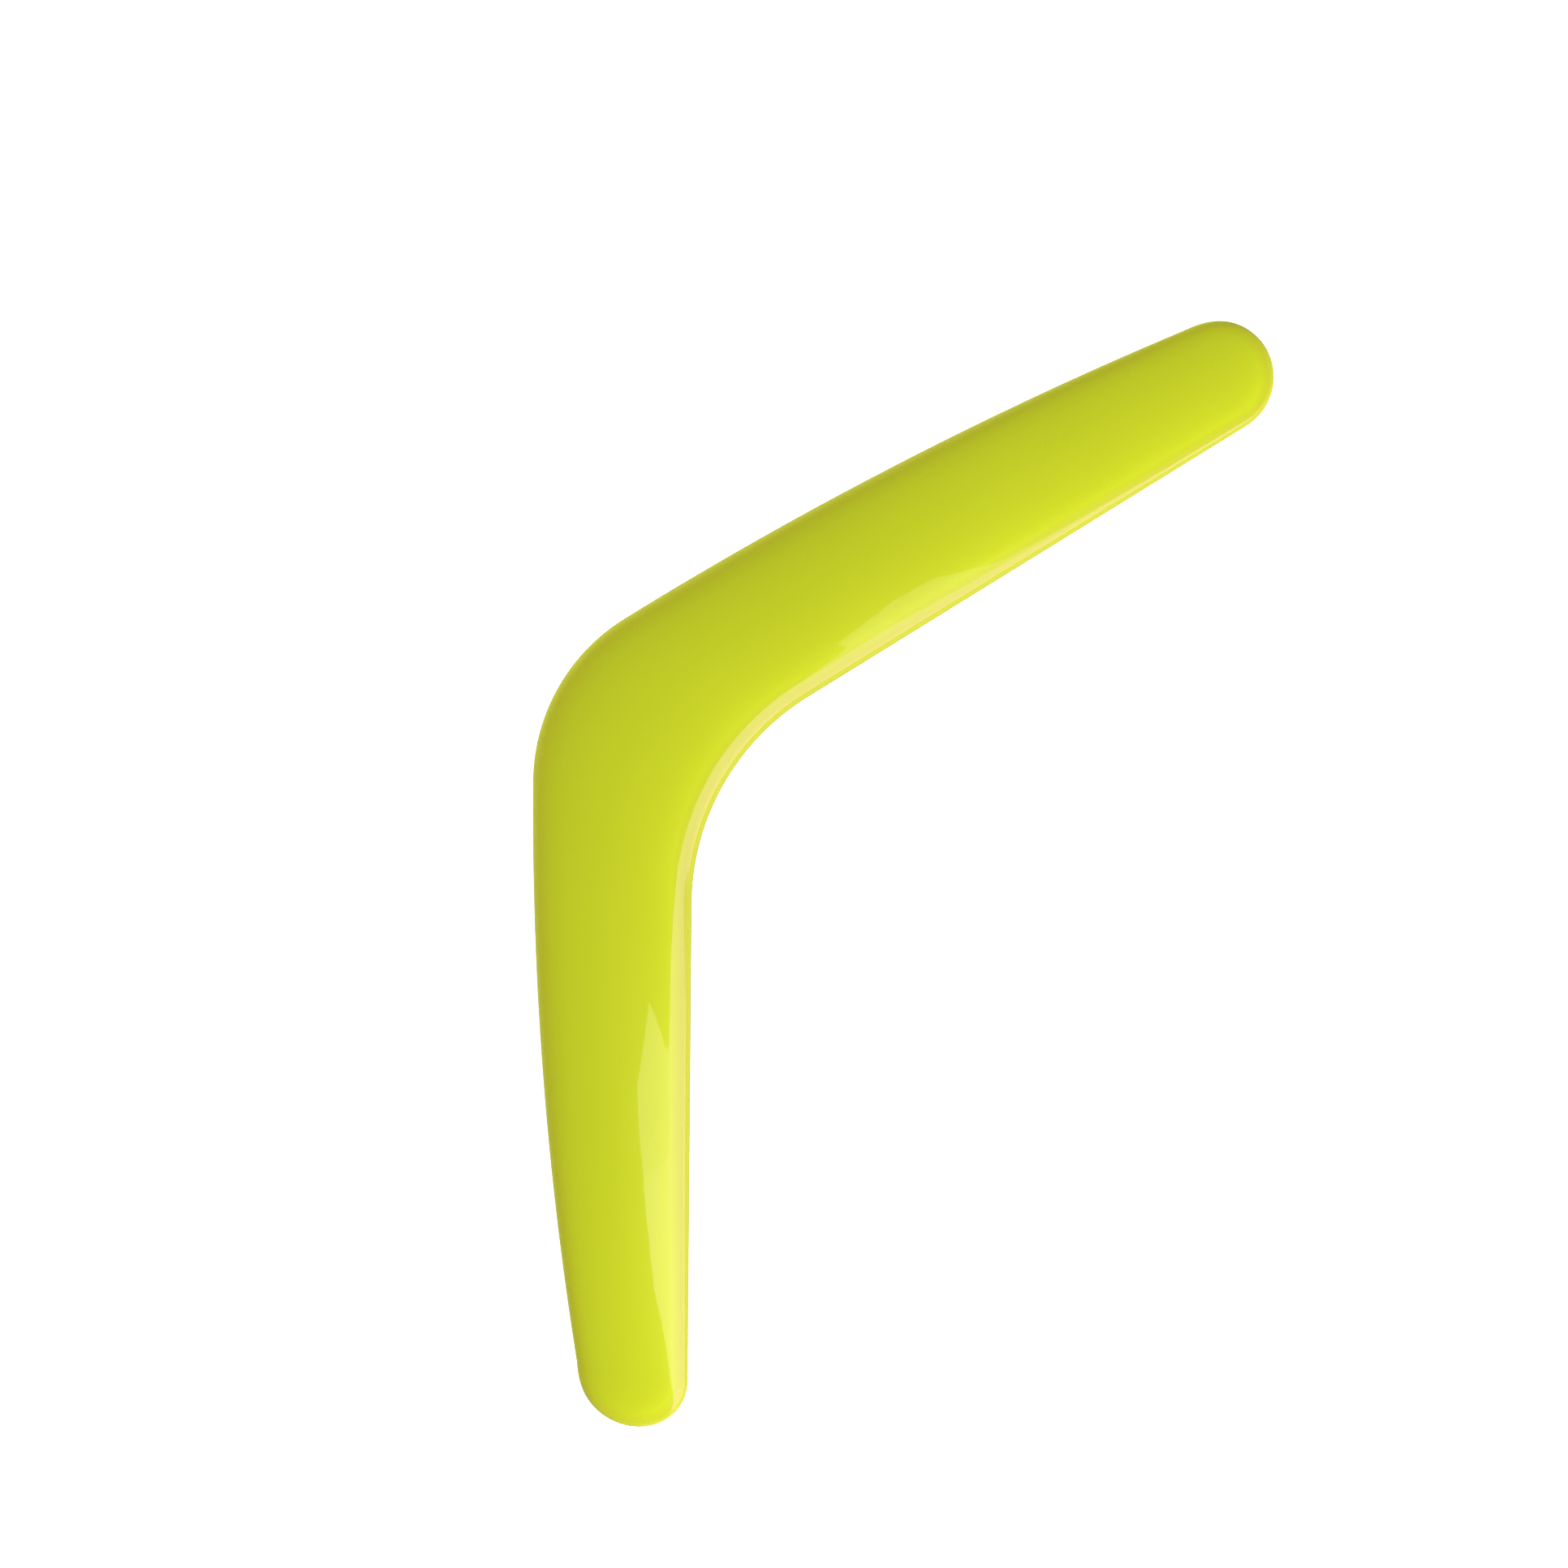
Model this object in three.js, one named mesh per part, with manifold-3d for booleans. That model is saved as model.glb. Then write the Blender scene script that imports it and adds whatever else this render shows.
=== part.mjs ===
// A hand-carved plywood boomerang under a gloss lacquer.
//
// Frame: +Z is up through the crowned upper face, +X runs from tip to tip and +Y points to the
// elbow. The origin is under the middle of the outline, on the surface that the flat underside
// rests on.

import * as THREE from "three";
import { ParametricGeometry } from "three/addons/geometries/ParametricGeometry.js";
import { mergeVertices } from "three/addons/utils/BufferGeometryUtils.js";
import Module from "manifold-3d";

// Plan, in millimetres and radians. The inner edge is an arc round the elbow with a straight run
// along each arm. The outer edge is an arc round the elbow with a long, slightly bowed run along
// each arm. The runs of an arm end opposite each other, where the round tip begins.
const HALF_TURN = THREE.MathUtils.degToRad(28.9);
const ELBOW_WIDTH = 57.7;
const INNER_ELBOW_RADIUS = 73.5;
const OUTER_ELBOW_RADIUS = 58;
const OUTER_ELBOW_SHIFT = 1.1;
const LONG_ARM = {
  direction: 1,
  innerRun: 155.8,
  outerRun: 189.4,
  outerBowRadius: 1212,
  tipReach: 1.02,
  tipLean: 0,
};
const SHORT_ARM = {
  direction: -1,
  innerRun: 144.5,
  outerRun: 175.7,
  outerBowRadius: 1049,
  tipReach: 0.93,
  tipLean: -0.1,
};

// Section. The widest line of the rim lies at RIM_HEIGHT: below it the edge is rounded under,
// above it the face rises in a soft shoulder and a shallow crown.
const RIM_HEIGHT = 2.0;
const ELBOW_CROWN = 7.2;
const TIP_CROWN = 4.6;
const THINNING_POWER = 2.2;
const SHOULDER_SHARE = 0.54;
const SHOULDER_POWER = 8;

// Lacquer and plies.
const COAT_THICKNESS = 0.4;
const COAT_GAP = 0.15;
const PLY_THICKNESS = 1.2;
const PLY_NAMES = [
  "ply_1_lower_face",
  "ply_2_cross",
  "ply_3_long",
  "ply_4_cross_core",
  "ply_5_long",
  "ply_6_cross",
  "ply_7_upper_face",
];

// Facets.
const ELBOW_STEPS = 8;
const ARM_STEPS = 10;
const TIP_STEPS = 14;
const FACE_RINGS = [0, 0.35, 0.6, 0.78, 0.89, 0.96, 0.99, 1];
const CORE_FACE_RINGS = [0, 0.6, 0.89, 0.99, 1];
const EDGE_STEPS = 3;

const lacquer = {
  color: new THREE.Color().setRGB(0.8, 0.86, 0.16, THREE.SRGBColorSpace),
  roughness: 0.16,
  metalness: 0,
};
const longGrain = {
  color: new THREE.Color().setRGB(0.86, 0.73, 0.53, THREE.SRGBColorSpace),
  roughness: 0.7,
  metalness: 0,
};
const crossGrain = {
  color: new THREE.Color().setRGB(0.76, 0.6, 0.4, THREE.SRGBColorSpace),
  roughness: 0.78,
  metalness: 0,
};

const wasm = await Module();
wasm.setup();

// The end of a run that starts at a point, with a clockwise heading, and turns evenly.
function runEnd(start, heading, length, turn) {
  const chord = turn === 0 ? length : (length * Math.sin(turn / 2)) / (turn / 2);
  const direction = new THREE.Vector2(chord, 0);
  direction.rotateAround(new THREE.Vector2(), -(heading + turn / 2));
  return direction.add(start);
}

// A point of an edge, at a share of the elbow's half turn and then a share of the arm's run.
function edgeAt(elbowRadius, run, bow, elbowShare, armShare) {
  const turn = HALF_TURN * elbowShare;
  const corner = runEnd(new THREE.Vector2(), 0, elbowRadius * turn, turn);
  return runEnd(corner, turn, run * armShare, bow * armShare);
}

// A station: the two edge points that face each other, and how far along the arm they lie.
function stationAt(arm, elbowShare, armShare) {
  const outerBow = arm.outerRun / arm.outerBowRadius;
  const inner = edgeAt(INNER_ELBOW_RADIUS, arm.innerRun, 0, elbowShare, armShare);
  const outer = edgeAt(OUTER_ELBOW_RADIUS, arm.outerRun, outerBow, elbowShare, armShare);
  inner.x *= arm.direction;
  outer.x *= arm.direction;
  outer.add(new THREE.Vector2(OUTER_ELBOW_SHIFT, ELBOW_WIDTH));
  const elbowRun = OUTER_ELBOW_RADIUS * HALF_TURN;
  const distance = elbowRun * elbowShare + arm.outerRun * armShare;
  const thinning = Math.pow(distance / (elbowRun + arm.outerRun), THINNING_POWER);
  const crown = THREE.MathUtils.lerp(ELBOW_CROWN, TIP_CROWN, thinning);
  return { inner, outer, foot: inner.clone().lerp(outer, 0.5), crown };
}

// The stations of one arm, from the first step off the middle of the elbow to the tip.
function armStations(arm) {
  const list = [];
  for (let i = 1; i <= ELBOW_STEPS; i++) list.push(stationAt(arm, i / ELBOW_STEPS, 0));
  for (let i = 1; i <= ARM_STEPS; i++) list.push(stationAt(arm, 1, i / ARM_STEPS));
  return list;
}

// A column of the surface: a foot on the centreline, the rim point that it looks out to, and the
// height of the crown over the foot.
function sideColumn(station, side) {
  return { foot: station.foot.clone(), rim: station[side].clone(), crown: station.crown };
}

// The columns of a round tip from its outer edge to its inner edge, both left out.
function tipColumns(arm, station) {
  const toOuter = station.outer.clone().sub(station.foot);
  const toEnd = new THREE.Vector2(toOuter.y, -toOuter.x).multiplyScalar(arm.direction);
  const reach = toEnd.multiplyScalar(arm.tipReach).addScaledVector(toOuter, arm.tipLean);
  const list = [];
  for (let i = 1; i < TIP_STEPS; i++) {
    const turn = (Math.PI * i) / TIP_STEPS;
    const rim = station.foot.clone().addScaledVector(toOuter, Math.cos(turn));
    rim.addScaledVector(reach, Math.sin(turn));
    list.push({ foot: station.foot.clone(), rim, crown: station.crown });
  }
  return list;
}

// All the columns, clockwise from the short arm's tip along the outer edge.
function outlineColumns() {
  const shortSide = armStations(SHORT_ARM);
  const longSide = armStations(LONG_ARM);
  const along = [...shortSide.toReversed(), stationAt(LONG_ARM, 0, 0), ...longSide];
  return [
    ...along.map((station) => sideColumn(station, "outer")),
    ...tipColumns(LONG_ARM, longSide.at(-1)),
    ...along.toReversed().map((station) => sideColumn(station, "inner")),
    ...tipColumns(SHORT_ARM, shortSide.at(-1)).reverse(),
  ];
}

// The columns turned so that the feet of the two tips are level, and moved so that the outline's
// box is centred on the origin.
function levelledColumns() {
  const columns = outlineColumns();
  const feet = columns.map((column) => column.foot);
  const shortTip = feet[0];
  const longTip = feet[2 * (ELBOW_STEPS + ARM_STEPS)];
  const slope = longTip.clone().sub(shortTip).angle();
  const points = columns.flatMap((column) => [column.foot, column.rim]);
  points.forEach((point) => point.rotateAround(new THREE.Vector2(), -slope));
  const middle = new THREE.Box2()
    .setFromPoints(columns.map((column) => column.rim))
    .getCenter(new THREE.Vector2());
  points.forEach((point) => point.sub(middle));
  return columns;
}

const columns = levelledColumns();

// Where the column's section has its point at a share of the way out, on the upper face of the
// body that lies inset under the finished surface.
function facePoint(column, inset, share) {
  const reach = column.rim.distanceTo(column.foot);
  const flat = column.foot.clone().lerp(column.rim, share * (1 - inset / reach));
  const crowned = 1 - share ** 2;
  const shoulder = Math.sqrt(1 - share ** SHOULDER_POWER);
  const rise = THREE.MathUtils.lerp(crowned, shoulder, SHOULDER_SHARE);
  return new THREE.Vector3(flat.x, flat.y, RIM_HEIGHT + (column.crown - inset) * rise);
}

// The same on the rounded lower edge, from 0 at the rim to 1 where it meets the underside.
function edgePoint(column, inset, share) {
  const reach = column.rim.distanceTo(column.foot);
  const radius = RIM_HEIGHT - inset;
  const turn = (share * Math.PI) / 2;
  const inward = inset + radius * (1 - Math.cos(turn));
  const flat = column.foot.clone().lerp(column.rim, 1 - inward / reach);
  return new THREE.Vector3(flat.x, flat.y, RIM_HEIGHT - radius * Math.sin(turn));
}

function undersidePoint(column, inset) {
  return new THREE.Vector3(column.foot.x, column.foot.y, inset);
}

// Rings are functions of a column. A closed body runs from one ring on the centreline, out and
// back to another.
function faceRings(inset, shares) {
  return shares.map((share) => (column) => facePoint(column, inset, share));
}

function edgeRings(inset, firstStep) {
  const rings = [];
  for (let i = firstStep; i <= EDGE_STEPS; i++) {
    rings.push((column) => edgePoint(column, inset, i / EDGE_STEPS));
  }
  rings.push((column) => undersidePoint(column, inset));
  return rings;
}

// A manifold solid of a closed geometry, without the triangles that shrink to nothing on the
// centreline.
function solidOf(geometry) {
  const bare = geometry.clone();
  bare.deleteAttribute("normal");
  bare.deleteAttribute("uv");
  const merged = mergeVertices(bare, 1e-4);
  const index = merged.index.array;
  const kept = [];
  for (let i = 0; i < index.length; i += 3) {
    const [a, b, c] = index.slice(i, i + 3);
    if (a !== b && b !== c && c !== a) kept.push(a, b, c);
  }
  return new wasm.Manifold(
    new wasm.Mesh({
      numProp: 3,
      vertProperties: merged.attributes.position.array,
      triVerts: new Uint32Array(kept),
    }),
  );
}

function geometryOf(solid) {
  const mesh = solid.getMesh();
  const geometry = new THREE.BufferGeometry();
  geometry.setAttribute("position", new THREE.BufferAttribute(mesh.vertProperties, 3));
  geometry.setIndex(new THREE.BufferAttribute(mesh.triVerts, 1));
  geometry.computeVertexNormals();
  return geometry;
}

function bodyOf(rings) {
  const place = (u, v, target) => {
    const column = columns[Math.round(u * columns.length) % columns.length];
    target.copy(rings[Math.round(v * (rings.length - 1))](column));
  };
  return solidOf(new ParametricGeometry(place, columns.length, rings.length - 1));
}

function named(name, solid, finish) {
  const mesh = new THREE.Mesh(geometryOf(solid), new THREE.MeshStandardMaterial(finish));
  mesh.name = name;
  return mesh;
}

// The coat on the crowned face, down to the rim.
function upperCoat() {
  const outside = faceRings(0, FACE_RINGS);
  const inside = faceRings(COAT_THICKNESS, FACE_RINGS).reverse();
  return named("gloss_coat_upper", bodyOf([...outside, ...inside]), lacquer);
}

// The coat on the underside and round the lower edge, up to the rim.
function lowerCoat() {
  const inside = edgeRings(COAT_THICKNESS, 0).reverse();
  const outside = edgeRings(0, 0);
  return named("gloss_coat_lower", bodyOf([...inside, ...outside]), lacquer);
}

// The carved wood as one body, which the plies are cut from.
function carvedBlank() {
  const inset = COAT_THICKNESS + COAT_GAP;
  return bodyOf([...faceRings(inset, CORE_FACE_RINGS), ...edgeRings(inset, 1)]);
}

// A slab over the whole outline, between two heights.
function slab(low, high) {
  const size = 2 * (LONG_ARM.outerRun + SHORT_ARM.outerRun);
  const box = new THREE.BoxGeometry(size, size, high - low);
  box.translate(0, 0, (low + high) / 2);
  return solidOf(box);
}

function plies() {
  const blank = carvedBlank();
  const base = COAT_THICKNESS + COAT_GAP;
  return PLY_NAMES.map((name, i) => {
    const low = i === 0 ? 0 : base + i * PLY_THICKNESS;
    const high = base + (i + 1) * PLY_THICKNESS;
    const finish = i % 2 === 0 ? longGrain : crossGrain;
    return named(name, blank.intersect(slab(low, high)), finish);
  });
}

const boomerang = new THREE.Group();
boomerang.name = "boomerang";
boomerang.add(upperCoat(), lowerCoat(), ...plies());

export default boomerang;
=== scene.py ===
from math import cos, pi, radians, sin, sqrt

import bmesh
import bpy
from mathutils import Matrix, Vector


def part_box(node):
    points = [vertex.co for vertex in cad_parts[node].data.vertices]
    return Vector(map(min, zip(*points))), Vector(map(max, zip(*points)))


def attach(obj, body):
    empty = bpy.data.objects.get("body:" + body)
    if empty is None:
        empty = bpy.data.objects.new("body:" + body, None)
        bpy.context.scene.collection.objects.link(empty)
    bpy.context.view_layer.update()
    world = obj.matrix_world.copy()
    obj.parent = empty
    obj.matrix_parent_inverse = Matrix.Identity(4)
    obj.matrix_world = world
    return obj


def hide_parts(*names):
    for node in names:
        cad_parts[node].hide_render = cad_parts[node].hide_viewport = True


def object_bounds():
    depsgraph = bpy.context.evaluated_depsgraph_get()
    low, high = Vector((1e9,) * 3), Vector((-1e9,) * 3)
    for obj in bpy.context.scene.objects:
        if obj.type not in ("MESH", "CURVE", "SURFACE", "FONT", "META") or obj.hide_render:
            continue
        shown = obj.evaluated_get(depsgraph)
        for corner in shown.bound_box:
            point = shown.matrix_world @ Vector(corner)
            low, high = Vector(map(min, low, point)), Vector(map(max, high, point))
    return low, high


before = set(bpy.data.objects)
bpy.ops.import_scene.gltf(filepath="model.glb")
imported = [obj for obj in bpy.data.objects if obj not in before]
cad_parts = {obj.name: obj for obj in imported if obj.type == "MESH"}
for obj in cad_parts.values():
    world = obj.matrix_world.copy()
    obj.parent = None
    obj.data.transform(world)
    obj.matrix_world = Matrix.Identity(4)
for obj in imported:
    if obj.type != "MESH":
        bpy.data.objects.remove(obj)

scene = bpy.context.scene
mm = 0.001
up = Vector((0, 0, 1))
cadLow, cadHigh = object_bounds()
coatLow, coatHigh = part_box("gloss_coat_upper")
print("frame loaded with", len(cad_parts), "nodes")


# the camera looks straight down, rolled so that the long arm runs up to the right

cameraSetup = {
    "height": 1.6,
    "viewWidth": 0.4716,
    "sensor": 36,
    "roll": 59.62,
    "aim": (0.00136, -0.0028),
}


def makeCamera(setup):
    data = bpy.data.cameras.new("camera")
    data.sensor_width = setup["sensor"]
    data.lens = setup["sensor"] * (setup["height"] - coatLow.z) / setup["viewWidth"]
    camera = bpy.data.objects.new("camera", data)
    scene.collection.objects.link(camera)
    camera.location = (*setup["aim"], setup["height"])
    camera.rotation_euler = (0, 0, -radians(setup["roll"]))
    scene.camera = camera


makeCamera(cameraSetup)
scene.view_settings.view_transform = "Standard"
print("camera placed")


# the plan in millimetres: inner edges are straight and outer ones slightly bowed, and an arc
# joins each pair round the elbow; tipReach and tipLean are shares of half the arm's width, and
# tipEase softens the start of the tip's outer side

plan = {
    "halfTurn": radians(28.9),
    "elbowWidth": 57.7,
    "innerElbowRadius": 73.5,
    "outerElbowRadius": 58,
    "outerElbowShift": 1.1,
}
longArm = {
    "direction": 1,
    "innerRun": 155.8,
    "outerRun": 189.4,
    "outerBowRadius": 1212,
    "tipReach": 1.02,
    "tipLean": 0,
    "tipEase": 0.16,
}
shortArm = {
    "direction": -1,
    "innerRun": 144.5,
    "outerRun": 175.7,
    "outerBowRadius": 1049,
    "tipReach": 0.93,
    "tipLean": -0.1,
    "tipEase": 0.12,
}
section = {
    "elbowCrown": coatHigh.z - coatLow.z,
    "tipCrown": 4.6 * mm,
    "thinningPower": 2.2,
    "shoulderShare": 0.54,
    "shoulderPower": 8,
}
coat = {
    "thickness": 0.4 * mm,
    "edgeShare": 0.98,
    "edgeSegments": 10,
    "undersideInset": 1.5 * mm,
    "paintedRimFade": 0.1,
    "elbowSteps": 24,
    "armSteps": 56,
    "acrossSteps": 72,
    "mergeDistance": 0.001 * mm,
    "halfSlack": 0.001,
}


def runEnd(start, heading, length, turn):
    chord = length if turn == 0 else length * sin(turn / 2) / (turn / 2)
    middle = heading + turn / 2
    return start + chord * Vector((cos(middle), -sin(middle), 0))


def edgeAt(radius, run, bow, elbowShare, armShare):
    turn = plan["halfTurn"] * elbowShare
    corner = runEnd(Vector(), 0, radius * turn, turn)
    return runEnd(corner, turn, run * armShare, bow * armShare)


# a station holds the section's middle, its reach to the outer edge and its crown, in metres

def stationAt(arm, elbowShare, armShare):
    bow = arm["outerRun"] / arm["outerBowRadius"]
    inner = edgeAt(plan["innerElbowRadius"], arm["innerRun"], 0, elbowShare, armShare)
    outer = edgeAt(plan["outerElbowRadius"], arm["outerRun"], bow, elbowShare, armShare)
    inner.x *= arm["direction"]
    outer.x *= arm["direction"]
    outer += Vector((plan["outerElbowShift"], plan["elbowWidth"], 0))
    elbowRun = plan["outerElbowRadius"] * plan["halfTurn"]
    distance = elbowRun * elbowShare + arm["outerRun"] * armShare
    thinning = (distance / (elbowRun + arm["outerRun"])) ** section["thinningPower"]
    crown = section["elbowCrown"] + (section["tipCrown"] - section["elbowCrown"]) * thinning
    middle = (inner + outer) / 2
    return {"middle": middle * mm, "reach": (outer - middle) * mm, "crown": crown}


def armStations(arm):
    elbow = [stationAt(arm, i / coat["elbowSteps"], 0) for i in range(1, coat["elbowSteps"] + 1)]
    return elbow + [stationAt(arm, 1, i / coat["armSteps"]) for i in range(1, coat["armSteps"] + 1)]


# maps the unit section, X to the outer edge and Z to the crown, onto a station

def sectionMatrix(station, side=None):
    across = station["reach"]
    along = up.cross(across) if side is None else side
    crown = Vector((0, 0, station["crown"]))
    matrix = Matrix((across, along, crown)).transposed().to_4x4()
    matrix.translation = station["middle"] + up * coatLow.z
    return matrix


def riseAt(share):
    shoulder = sqrt(max(0, 1 - abs(share) ** section["shoulderPower"]))
    weight = section["shoulderShare"]
    return (1 - weight) * (1 - share ** 2) + weight * shoulder


def kindOf(geometry, kind):
    return [item for item in geometry if isinstance(item, kind)]


# the unit section: a vertex spun over the top, with its heights set by the crown's curve

def startSection(mesh, station):
    across = mesh.verts.layers.float.new("acrossShare")
    side = mesh.verts.layers.float.new("sideShare")
    first = mesh.verts.new((1, 0, 0))
    bmesh.ops.spin(
        mesh, geom=[first], cent=(0, 0, 0), axis=(0, 1, 0),
        angle=-pi, steps=coat["acrossSteps"],
    )
    for vertex in mesh.verts:
        vertex[across] = abs(vertex.co.x)
        vertex[side] = vertex.co.x
        vertex.co.z = riseAt(vertex.co.x)
    bmesh.ops.transform(mesh, matrix=sectionMatrix(station), verts=mesh.verts)
    return list(mesh.edges)


def sweep(mesh, edges, start, stations):
    before = sectionMatrix(start)
    for station in stations:
        made = bmesh.ops.extrude_edge_only(mesh, edges=edges)["geom"]
        after = sectionMatrix(station)
        verts = kindOf(made, bmesh.types.BMVert)
        bmesh.ops.transform(mesh, matrix=after @ before.inverted(), verts=verts)
        edges = kindOf(made, bmesh.types.BMEdge)
        before = after
    return edges


# the outer half of the last section spun half a turn about its middle, then stretched, leant and
# eased into the outer edge

def roundTip(mesh, edges, arm, station):
    placed = sectionMatrix(station)
    toUnit = placed.inverted()
    half = [e for e in edges if all((toUnit @ v.co).x > -coat["halfSlack"] for v in e.verts)]
    old = set(mesh.verts)
    bmesh.ops.spin(
        mesh, geom=half + list({v for e in half for v in e.verts}),
        cent=station["middle"], axis=up, angle=-pi * arm["direction"],
        steps=coat["acrossSteps"] // 2,
    )
    across = station["reach"]
    toEnd = -arm["direction"] * up.cross(across)
    lean = arm["tipReach"] * toEnd + arm["tipLean"] * across
    tip = sectionMatrix(station, -arm["direction"] * lean)
    new = [v for v in mesh.verts if v not in old]
    side = mesh.verts.layers.float["sideShare"]
    for vertex in new:
        place = toUnit @ vertex.co
        vertex[side] = place.x
        along = abs(place.y)
        place.x -= arm["tipEase"] * along * (1 - along) ** 2 * (1 + place.x) / 2
        vertex.co = tip @ place


# turned so that the tips are level, and centred along X and Y on the CAD coat's box

def levelOut(mesh, shortTip, longTip):
    across = longTip["middle"] - shortTip["middle"]
    slope = Vector((1, 0)).angle_signed(across.to_2d())
    bmesh.ops.rotate(
        mesh, verts=mesh.verts, cent=(0, 0, 0), matrix=Matrix.Rotation(slope, 3, "Z")
    )
    middle = (coatLow + coatHigh) / 2
    for axis in range(2):
        places = [v.co[axis] for v in mesh.verts]
        shift = Vector()
        shift[axis] = middle[axis] - (min(places) + max(places)) / 2
        bmesh.ops.translate(mesh, verts=mesh.verts, vec=shift)


def turnOut(mesh, outward):
    bmesh.ops.recalc_face_normals(mesh, faces=mesh.faces)
    mesh.normal_update()
    lean = sum(face.normal.z * face.calc_area() for face in mesh.faces)
    if lean * outward < 0:
        bmesh.ops.reverse_faces(mesh, faces=mesh.faces)


def crownedSheet():
    mesh = bmesh.new()
    start = stationAt(longArm, 0, 0)
    edges = startSection(mesh, start)
    tips = []
    for arm in (longArm, shortArm):
        stations = armStations(arm)
        roundTip(mesh, sweep(mesh, edges, start, stations), arm, stations[-1])
        tips.append(stations[-1])
    bmesh.ops.remove_doubles(mesh, verts=mesh.verts, dist=coat["mergeDistance"])
    levelOut(mesh, tips[1], tips[0])
    turnOut(mesh, 1)
    return mesh


# the rim filled, extruded down to the table and rounded under, with the lacquer's painted rim
# light and shade fading down the wall

def undersideTray(crowned):
    mesh = crowned.copy()
    inside = [e for e in mesh.edges if not e.is_boundary]
    bmesh.ops.delete(mesh, geom=inside, context="EDGES")
    lid = bmesh.ops.edgeloop_fill(mesh, edges=mesh.edges)["faces"]
    made = bmesh.ops.extrude_face_region(mesh, geom=lid)["geom"]
    bmesh.ops.delete(mesh, geom=lid, context="FACES_ONLY")
    bmesh.ops.translate(mesh, verts=kindOf(made, bmesh.types.BMVert), vec=-up * coatLow.z)
    bmesh.ops.bevel(
        mesh, geom=kindOf(made, bmesh.types.BMEdge), offset=coatLow.z * coat["edgeShare"],
        segments=coat["edgeSegments"], profile=0.5, affect="EDGES", material=-1,
    )
    bottom = max(mesh.faces, key=lambda face: face.calc_area())
    bmesh.ops.inset_region(mesh, faces=[bottom], thickness=coat["undersideInset"])
    # the painted rim light and shade holds down the wall and gives way to the plain tone underneath
    across = mesh.verts.layers.float["acrossShare"]
    for vertex in mesh.verts:
        vertex[across] = (max(0, vertex.co.z) / coatLow.z) ** coat["paintedRimFade"]
    turnOut(mesh, -1)
    return mesh


def addPiece(name, mesh, material, node):
    for edge in mesh.edges:
        edge.smooth = not edge.is_boundary
    data = bpy.data.meshes.new(name)
    mesh.to_mesh(data)
    for polygon in data.polygons:
        polygon.use_smooth = True
    data.materials.append(material)
    piece = bpy.data.objects.new(name, data)
    scene.collection.objects.link(piece)
    shell = piece.modifiers.new("coatThickness", "SOLIDIFY")
    shell.thickness = coat["thickness"]
    shell.offset = -1
    shell.use_even_offset = True
    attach(piece, "root")
    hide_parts(node)


# materials

def newMaterial(name):
    material = bpy.data.materials.new(name)
    material.use_nodes = True
    return material, material.node_tree.nodes["Principled BSDF"]


def addNode(tree, kind, settings=None, **links):
    node = tree.nodes.new(kind)
    for key, value in (settings or {}).items():
        if key in node.inputs:
            node.inputs[key].default_value = value
        else:
            setattr(node, key, value)
    for key, value in links.items():
        tree.links.new(value, node.inputs[key.replace("_", " ")])
    return node


# the mix node's inputs 0, 6 and 7 are its share and its two colours, and output 2 is a colour

def mixColours(tree, share, low, high):
    mix = addNode(tree, "ShaderNodeMix", {"data_type": "RGBA"})
    for place, value in ((0, share), (6, low), (7, high)):
        if isinstance(value, bpy.types.NodeSocket):
            tree.links.new(value, mix.inputs[place])
        else:
            mix.inputs[place].default_value = value
    return mix.outputs[2]


def remap(tree, value, low, high, start=0, end=1):
    settings = {"From Min": low, "From Max": high, "To Min": start, "To Max": end}
    return addNode(tree, "ShaderNodeMapRange", settings, Value=value).outputs["Result"]


def combine(tree, operation, first, second):
    node = addNode(tree, "ShaderNodeMath", {"operation": operation})
    tree.links.new(first, node.inputs[0])
    if isinstance(second, bpy.types.NodeSocket):
        tree.links.new(second, node.inputs[1])
    else:
        node.inputs[1].default_value = second
    return node.outputs[0]


def noise(tree, place, scale, detail):
    settings = {"Scale": scale, "Detail": detail}
    return addNode(tree, "ShaderNodeTexNoise", settings, Vector=place).outputs["Fac"]


def bump(tree, height, distance, below=None):
    node = addNode(tree, "ShaderNodeBump", {"Distance": distance, "Strength": 1}, Height=height)
    if below:
        tree.links.new(below, node.inputs["Normal"])
    return node.outputs["Normal"]


# cloud, sheen, wave, peel, hairs and hairPatch are each a noise's scale and detail

lacquer = {
    "deep": (0.49, 0.56, 0.01, 1),
    "light": (0.515, 0.587, 0.013, 1),
    # the rim colours are painted light and shade: a darker inner rim and a darker line at the inner
    # edge are painted shade, and a lighter outer rim is painted light
    "innerRimPaintedShade": (0.385, 0.4, 0.014, 1),
    "outerRimPaintedLight": (0.56, 0.59, 0.014, 1),
    "innerEdgePaintedShade": (0.33, 0.37, 0.012, 1),
    "paintedRimStart": 0.74,
    "paintedRimEnd": 0.9,
    "paintedEdgeStart": 0.97,
    "speck": (0.16, 0.17, 0.02, 1),
    "cloud": (14, 3),
    "sheen": (30, 4),
    "sheenSpread": (0.3, 0.8),
    "sheenRoughness": (0.24, 0.36),
    "sheenShare": 0.2,
    "coatRoughness": 0.04,
    "wave": (70, 0),
    "waveHeight": 0.06 * mm,
    "peel": (200, 1),
    "peelHeight": 0.01 * mm,
    "nibScale": 42,
    "nibReach": 0.014,
    "nibRarity": 0.72,
    "nibHeight": 0.04 * mm,
    "hairs": (1, 0),
    "hairLevel": 0.5,
    "hairStretch": (7, 420, 1),
    "hairTurns": (radians(18), radians(-41)),
    "hairWidth": 0.006,
    "hairPatch": (22, 2),
    "hairPatchSpread": (0.6, 0.68),
    "hairDepth": 0.012 * mm,
}


# dust under the lacquer: small bumps in a few cells of a cell pattern

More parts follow.
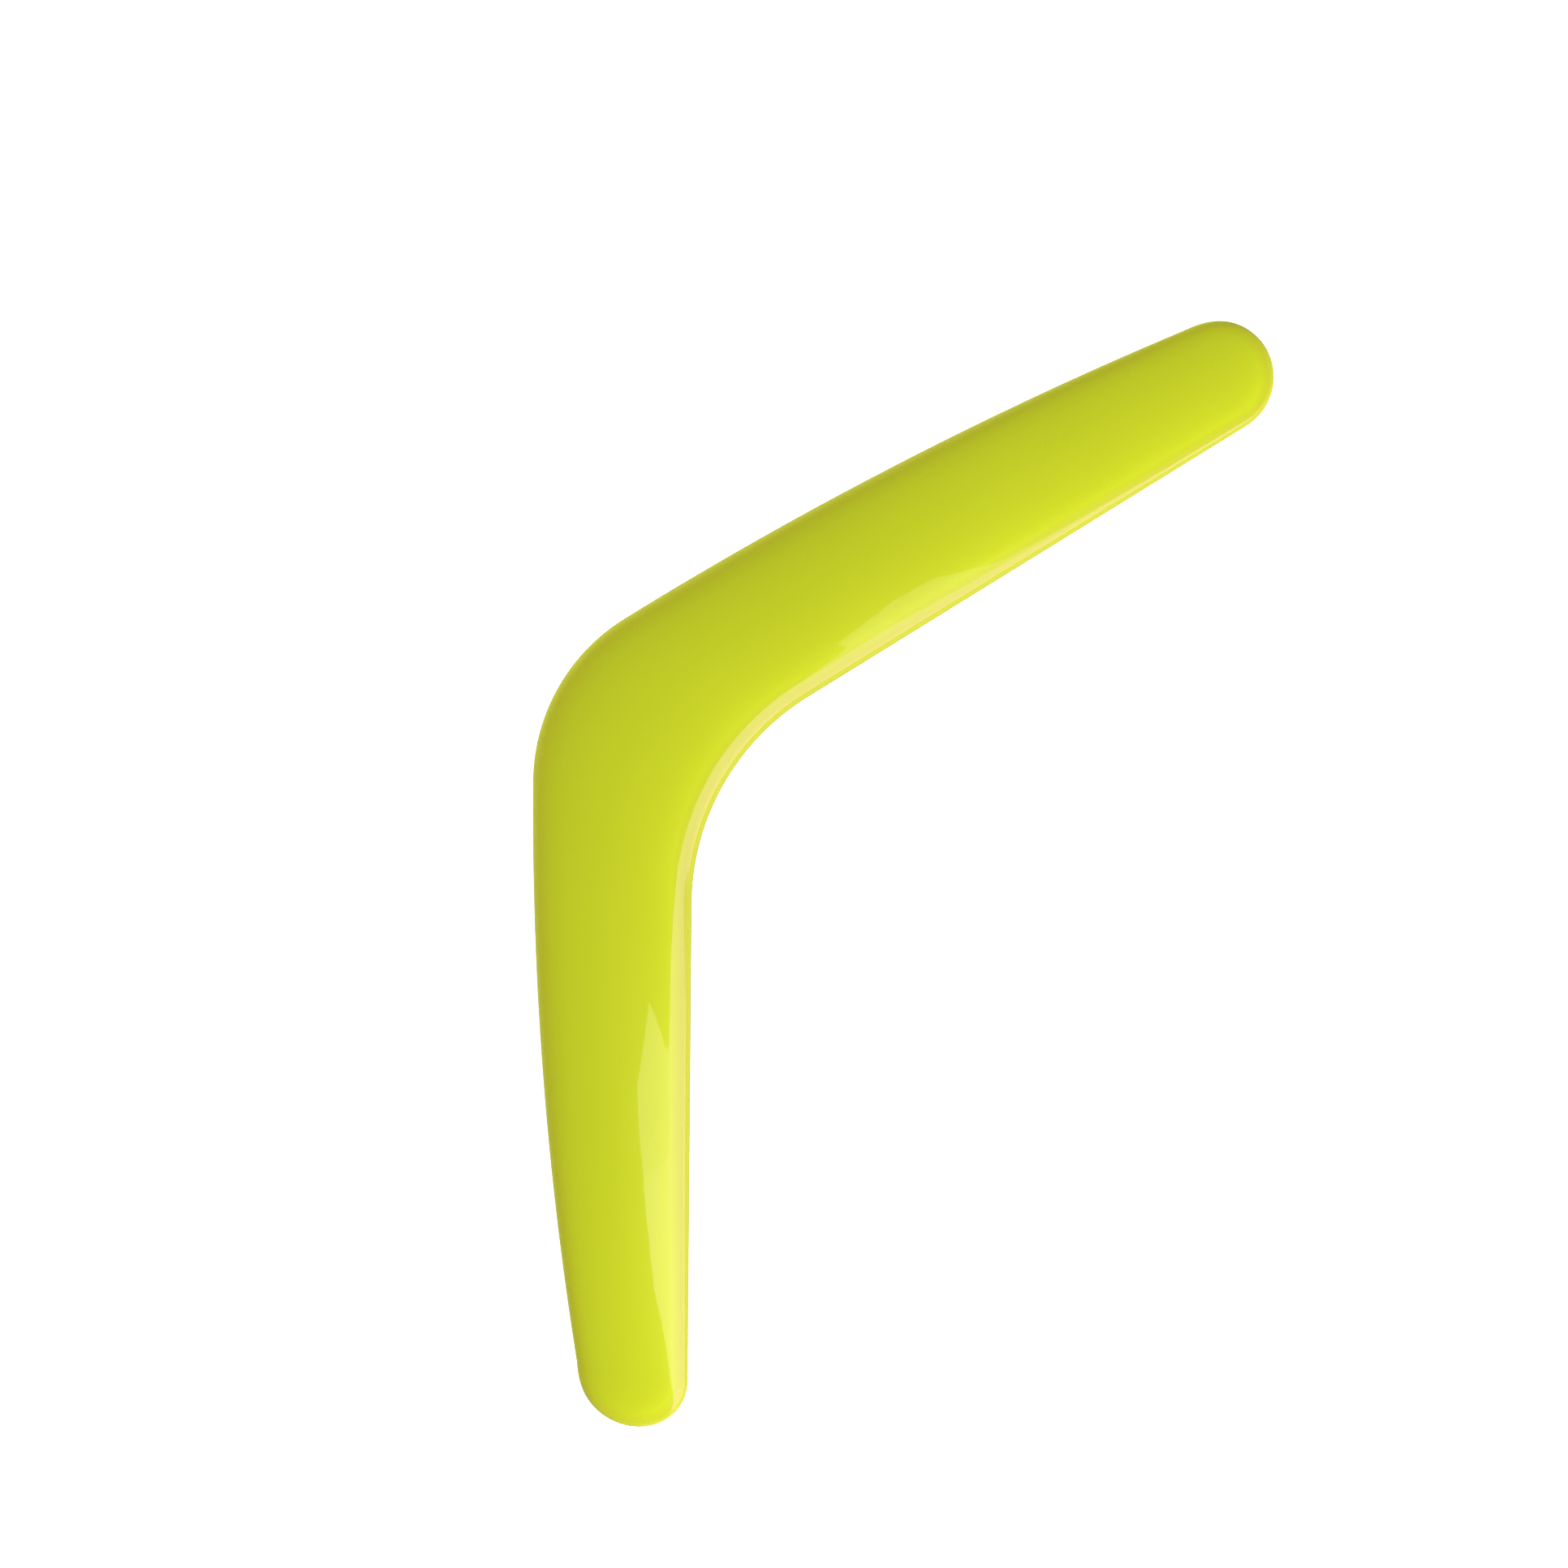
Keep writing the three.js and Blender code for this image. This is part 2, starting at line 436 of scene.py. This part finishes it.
def dustNibs(tree, place, look):
    cells = addNode(tree, "ShaderNodeTexVoronoi", {"Scale": look["nibScale"]}, Vector=place)
    dot = remap(tree, cells.outputs["Distance"], look["nibReach"], 0)
    chance = addNode(tree, "ShaderNodeSeparateColor", Color=cells.outputs["Color"]).outputs["Red"]
    return combine(tree, "MULTIPLY", dot, combine(tree, "GREATER_THAN", chance, look["nibRarity"]))


# hairline scratches: thin level lines of a stretched noise, kept in a few patches

def hairlines(tree, place, look):
    patch = remap(tree, noise(tree, place, *look["hairPatch"]), *look["hairPatchSpread"])
    lines = []
    for turn in look["hairTurns"]:
        settings = {"Rotation": (0, 0, turn), "Scale": look["hairStretch"]}
        stretched = addNode(tree, "ShaderNodeMapping", settings, Vector=place).outputs["Vector"]
        hairs = noise(tree, stretched, *look["hairs"])
        level = combine(tree, "SUBTRACT", hairs, look["hairLevel"])
        lines.append(remap(tree, combine(tree, "ABSOLUTE", level, 0), look["hairWidth"], 0))
    return combine(tree, "MULTIPLY", patch, combine(tree, "MAXIMUM", *lines))


def makeLacquer(look):
    material, shader = newMaterial("limeLacquer")
    tree = material.node_tree
    place = addNode(tree, "ShaderNodeTexCoord").outputs["Object"]
    tone = mixColours(tree, noise(tree, place, *look["cloud"]), look["deep"], look["light"])
    # painted shade along the inner rim and at the inner edge, and painted light along the outer rim,
    # mixed over the lacquer's tone near the edges
    across = addNode(tree, "ShaderNodeAttribute", {"attribute_name": "acrossShare"})
    paintedRimMask = remap(tree, across.outputs["Fac"], look["paintedRimStart"], look["paintedRimEnd"])
    side = addNode(tree, "ShaderNodeAttribute", {"attribute_name": "sideShare"})
    outward = remap(tree, side.outputs["Fac"], -look["paintedRimEnd"], look["paintedRimEnd"])
    rim = mixColours(tree, outward, look["innerRimPaintedShade"], look["outerRimPaintedLight"])
    edge = remap(tree, side.outputs["Fac"], -look["paintedEdgeStart"], -1)
    rim = mixColours(tree, edge, rim, look["innerEdgePaintedShade"])
    nibs = dustNibs(tree, place, look)
    body = mixColours(tree, paintedRimMask, tone, rim)
    tree.links.new(mixColours(tree, nibs, body, look["speck"]), shader.inputs["Base Color"])
    sheen = noise(tree, place, *look["sheen"])
    gloss = remap(tree, sheen, *look["sheenSpread"], *look["sheenRoughness"])
    tree.links.new(gloss, shader.inputs["Roughness"])
    shader.inputs["Specular IOR Level"].default_value = look["sheenShare"]
    shader.inputs["Coat Weight"].default_value = 1
    shader.inputs["Coat Roughness"].default_value = look["coatRoughness"]
    surface = bump(tree, noise(tree, place, *look["wave"]), look["waveHeight"])
    surface = bump(tree, noise(tree, place, *look["peel"]), look["peelHeight"], surface)
    surface = bump(tree, nibs, look["nibHeight"], surface)
    surface = bump(tree, hairlines(tree, place, look), -look["hairDepth"], surface)
    tree.links.new(surface, shader.inputs["Normal"])
    tree.links.new(surface, shader.inputs["Coat Normal"])
    return material


# streaks and flecks are each a noise's scale and detail, after the grain's own stretch

birch = {
    "longGrain": {
        "pale": (0.79, 0.61, 0.41, 1), "dark": (0.60, 0.41, 0.24, 1),
        "along": (5, 110, 110), "fleck": (30, 420, 420), "roughness": (0.58, 0.74),
    },
    "crossGrain": {
        "pale": (0.64, 0.46, 0.28, 1), "dark": (0.47, 0.31, 0.17, 1),
        "along": (110, 5, 110), "fleck": (420, 30, 420), "roughness": (0.66, 0.8),
    },
    "streaks": (1, 8),
    "streakSpread": (0.3, 0.7),
    "flecks": (1, 1),
    "fleckSpread": (0.66, 0.78),
    "fleckColour": (0.30, 0.18, 0.09, 1),
    "grainHeight": 0.05 * mm,
    "plies": {
        "ply_1_lower_face": "longGrain", "ply_2_cross": "crossGrain", "ply_3_long": "longGrain",
        "ply_4_cross_core": "crossGrain", "ply_5_long": "longGrain", "ply_6_cross": "crossGrain",
        "ply_7_upper_face": "longGrain",
    },
}


# streaks of growth rings with short dark flecks, both stretched along the grain

def makeBirch(name):
    look = birch[name]
    material, shader = newMaterial(name)
    tree = material.node_tree
    place = addNode(tree, "ShaderNodeTexCoord").outputs["Object"]
    along = addNode(tree, "ShaderNodeMapping", {"Scale": look["along"]}, Vector=place)
    fine = addNode(tree, "ShaderNodeMapping", {"Scale": look["fleck"]}, Vector=place)
    streaks = noise(tree, along.outputs["Vector"], *birch["streaks"])
    flecks = remap(tree, noise(tree, fine.outputs["Vector"], *birch["flecks"]), *birch["fleckSpread"])
    spread = birch["streakSpread"]
    wood = mixColours(tree, remap(tree, streaks, *spread), look["pale"], look["dark"])
    tree.links.new(mixColours(tree, flecks, wood, birch["fleckColour"]), shader.inputs["Base Color"])
    tree.links.new(remap(tree, streaks, *spread, *look["roughness"]), shader.inputs["Roughness"])
    tree.links.new(bump(tree, streaks, birch["grainHeight"]), shader.inputs["Normal"])
    return material


for grain in ("longGrain", "crossGrain"):
    material = makeBirch(grain)
    for ply in (node for node, kind in birch["plies"].items() if kind == grain):
        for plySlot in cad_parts[ply].material_slots:
            plySlot.material = material
print("birch plies finished")

limeLacquer = makeLacquer(lacquer)
crowned = crownedSheet()
print("crowned sheet:", len(crowned.faces), "faces")
tray = undersideTray(crowned)
print("underside tray:", len(tray.faces), "faces")
addPiece("lacquerUpper", crowned, limeLacquer, "gloss_coat_upper")
addPiece("lacquerLower", tray, limeLacquer, "gloss_coat_lower")
crowned.free()
tray.free()


# floor and light

white = (1, 1, 1, 1)
black = (0, 0, 0, 1)
floorSetup = {
    "size": 12,
    "drop": 0.05 * mm,
    "colour": (0.8, 0.8, 0.8, 1),
    "roughness": 0.8,
    "glow": 1,
}


def makeFloor(setup):
    mesh = bmesh.new()
    bmesh.ops.create_grid(mesh, x_segments=1, y_segments=1, size=setup["size"] / 2)
    data = bpy.data.meshes.new("floor")
    mesh.to_mesh(data)
    mesh.free()
    material, shader = newMaterial("paleFloor")
    shader.inputs["Base Color"].default_value = setup["colour"]
    shader.inputs["Roughness"].default_value = setup["roughness"]
    shader.inputs["Emission Color"].default_value = white
    shader.inputs["Emission Strength"].default_value = setup["glow"]
    data.materials.append(material)
    floor = bpy.data.objects.new("floor", data)
    scene.collection.objects.link(floor)
    floor.location.z = cadLow.z - setup["drop"]
    floor.visible_glossy = False


# a panel shines from place towards aim and glow is its radiance: key and bounceCard give the
# shading, and tableGlow only a reflection

panels = {
    "key": {
        "place": (-0.18, -1.12, 0.77), "aim": (0, 0, 0), "size": (0.84, 0.63), "tint": (1, 0.98, 0.93),
        "glow": 20.6, "mirrored": False,
    },
    "bounceCard": {
        "place": (0.25, 1.55, 0.16), "aim": (0, 0, 0), "size": (2.4, 0.3), "tint": (1, 0.98, 0.93),
        "glow": 9, "mirrored": False,
    },
    "tableGlow": {
        "place": (0, -1.2, -0.95), "aim": (0, 0, -0.95), "size": (4.2, 1.7), "tint": (0.9, 1, 0.9),
        "glow": 0.25, "mirrored": True,
    },
}

# flat softboxes over the table, seen only in the gloss, with their outlines in metres: a separate
# program traced the highlights' edges back from the crown, and most points are what it printed
# or near it, and the rest were placed by hand

softboxHeight = 0.1
softboxes = {
    "armSoftbox": {
        "outline": (
            (-0.163, -0.107), (-0.155, -0.083), (-0.15, -0.069), (-0.132, -0.051), (-0.123, -0.043),
            (-0.095, -0.075),
        ),
        "tint": (1, 0.8, 0.8, 1), "glow": 2.9,
    },
    "upperArmSoftbox": {
        "outline": (
            (-0.123, -0.043), (-0.114, -0.034), (-0.099, -0.024), (-0.069, -0.022), (-0.07, -0.051),
            (-0.065, -0.06), (-0.095, -0.075),
        ),
        "tint": (1, 0.85, 0.8, 1), "glow": 2.3,
    },
    "cornerSoftbox": {
        "outline": (
            (-0.004, -0.06), (0.024, -0.047), (0.032, -0.028), (0.057, -0.029), (0.07, -0.037),
            (0.07, -0.062), (0.062, -0.1), (0.08, -0.25), (0.056, -0.184), (0.038, -0.105),
            (0.03, -0.072),
        ),
        "tint": (1, 0.8, 0.8, 1), "glow": 1.7,
    },
    "fadingSoftbox": {
        "outline": (
            (0.07, -0.062), (0.1, -0.1), (0.12, -0.15), (0.12, -0.4), (0.08, -0.25), (0.062, -0.1),
        ),
        "tint": (1, 0.8, 0.8, 1), "glow": 0.5,
    },
    "wallSoftbox": {
        "outline": (
            (-0.5, -0.8), (-0.163, -0.107), (-0.095, -0.075), (-0.065, -0.06), (-0.04, -0.051),
            (-0.02, -0.051), (-0.004, -0.06), (0.03, -0.072), (0.038, -0.105), (0.056, -0.184),
            (0.12, -0.4), (0.45, -0.8),
        ),
        "tint": (1, 0.62, 1, 1), "glow": 3,
    },
}
worldGlow = 0.18


def makePanel(name, setup):
    width, height = setup["size"]
    data = bpy.data.lights.new(name, "AREA")
    data.shape = "RECTANGLE"
    data.size = width
    data.size_y = height
    data.color = setup["tint"]
    data.energy = setup["glow"] * pi * width * height
    light = bpy.data.objects.new(name, data)
    scene.collection.objects.link(light)
    light.location = setup["place"]
    aim = Vector(setup["aim"]) - light.location
    light.rotation_euler = aim.to_track_quat("-Z", "Y").to_euler()
    light.visible_camera = False
    light.visible_glossy = setup["mirrored"]
    light.visible_diffuse = not setup["mirrored"]


def makeSoftbox(name, setup):
    mesh = bmesh.new()
    mesh.faces.new([mesh.verts.new((x, y, softboxHeight)) for x, y in setup["outline"]])
    data = bpy.data.meshes.new(name)
    mesh.to_mesh(data)
    mesh.free()
    material, shader = newMaterial(name)
    shader.inputs["Base Color"].default_value = black
    shader.inputs["Specular IOR Level"].default_value = 0
    shader.inputs["Emission Color"].default_value = setup["tint"]
    shader.inputs["Emission Strength"].default_value = setup["glow"]
    data.materials.append(material)
    box = bpy.data.objects.new(name, data)
    scene.collection.objects.link(box)
    box.visible_camera = False
    box.visible_diffuse = False
    box.visible_shadow = False


def makeWorld(glow):
    world = bpy.data.worlds.new("studio")
    world.use_nodes = True
    background = world.node_tree.nodes["Background"]
    background.inputs["Color"].default_value = white
    background.inputs["Strength"].default_value = glow
    scene.world = world


makeFloor(floorSetup)
for name, setup in panels.items():
    makePanel(name, setup)
for name, setup in softboxes.items():
    makeSoftbox(name, setup)
makeWorld(worldGlow)
print("floor and light ready")
